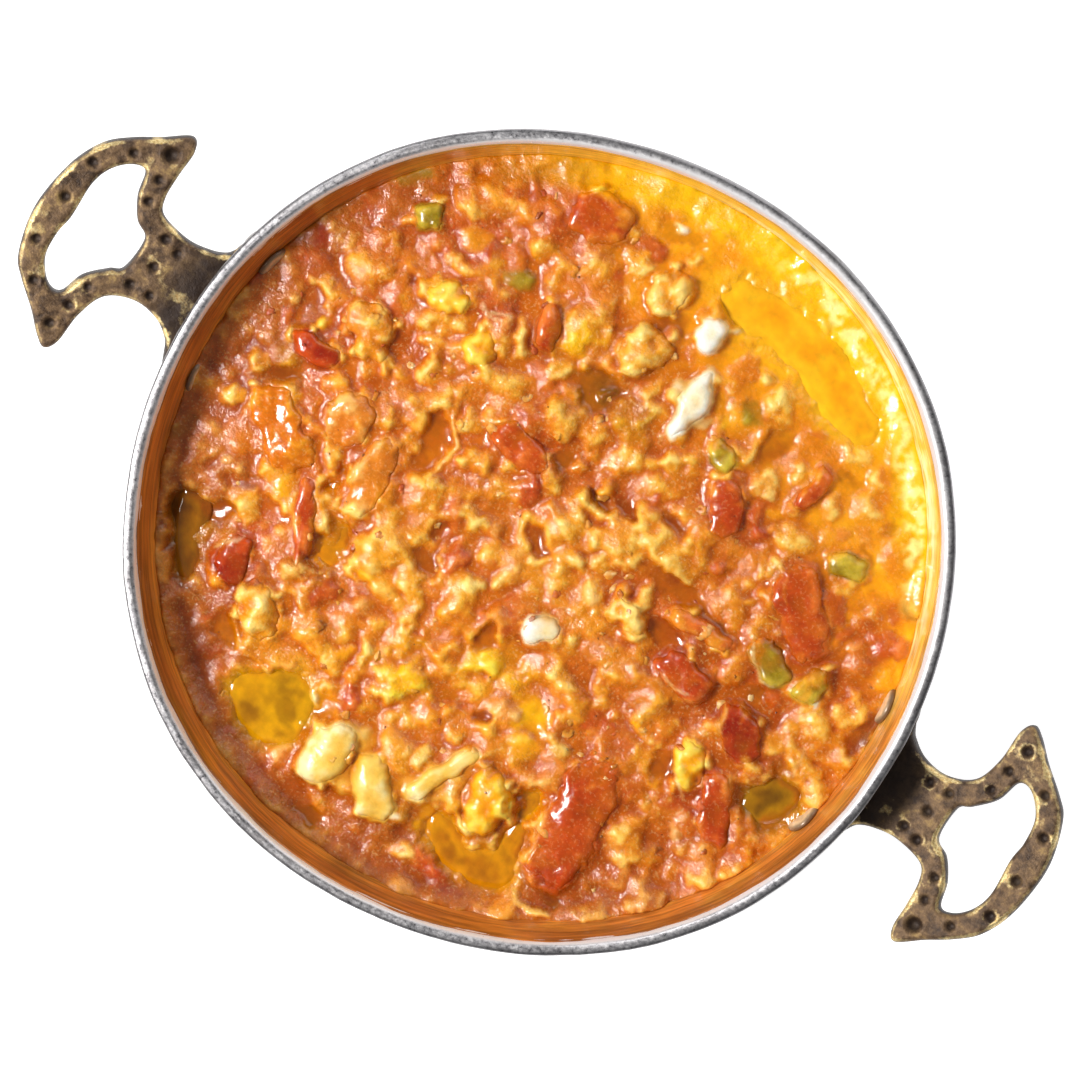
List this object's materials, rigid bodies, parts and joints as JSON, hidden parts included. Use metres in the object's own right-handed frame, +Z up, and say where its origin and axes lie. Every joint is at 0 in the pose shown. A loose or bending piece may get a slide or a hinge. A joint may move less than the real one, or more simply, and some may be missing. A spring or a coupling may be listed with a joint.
{
  "type": "menemen in a two-handled pan",
  "caption": "Soft scrambled egg cooked with tomato, green pepper and oil, served in its round flared metal pan with cast brass side handles riveted to the wall.",
  "frame": {"origin": "centre of the pan's underside, on the surface it stands on", "axes": "+Z up out of the pan, +X through the right handle, +Y to the left of it"},
  "size_m": [0.2629, 0.179, 0.042],
  "materials": {
    "pan_aluminium": "spun aluminium, worn and scratched on the rim, filmed with oily sauce inside",
    "handle_brass": "cast brass with a dark patina, worn bright on the edges",
    "rivet_aluminium": "flat hammered heads, filmed with sauce on the inside",
    "tomato": "soft cooked tomato, wet and shiny",
    "egg": "soft scrambled egg, moist",
    "pepper": "soft cooked green pepper, wet",
    "oil": "clear yellow oil, mirror-smooth",
    "menemen": "moist curds of egg and tomato in oily juice"
  },
  "bodies": {
    "root": {"pan": "pan_aluminium", "handle_right": "handle_brass", "rivet_right_1": "rivet_aluminium", "rivet_right_2": "rivet_aluminium", "handle_left": "handle_brass", "rivet_left_1": "rivet_aluminium", "rivet_left_2": "rivet_aluminium", "tomato_1": "tomato", "tomato_2": "tomato", "tomato_3": "tomato", "tomato_4": "tomato", "tomato_5": "tomato", "tomato_6": "tomato", "tomato_7": "tomato", "tomato_8": "tomato", "tomato_9": "tomato", "tomato_10": "tomato", "tomato_11": "tomato", "tomato_12": "tomato", "tomato_13": "tomato", "tomato_14": "tomato", "tomato_15": "tomato", "tomato_16": "tomato", "tomato_17": "tomato", "egg_1": "egg", "egg_2": "egg", "egg_3": "egg", "egg_4": "egg", "egg_5": "egg", "egg_6": "egg", "egg_7": "egg", "egg_8": "egg", "egg_9": "egg", "egg_10": "egg", "egg_11": "egg", "egg_12": "egg", "egg_13": "egg", "egg_14": "egg", "egg_15": "egg", "pepper_1": "pepper", "pepper_2": "pepper", "pepper_3": "pepper", "pepper_4": "pepper", "pepper_5": "pepper", "oil_pool_1": "oil", "oil_pool_2": "oil", "oil_pool_3": "oil", "oil_pool_4": "oil", "oil_pool_5": "oil", "oil_pool_6": "oil", "menemen": "menemen"}
  },
  "joints": []
}
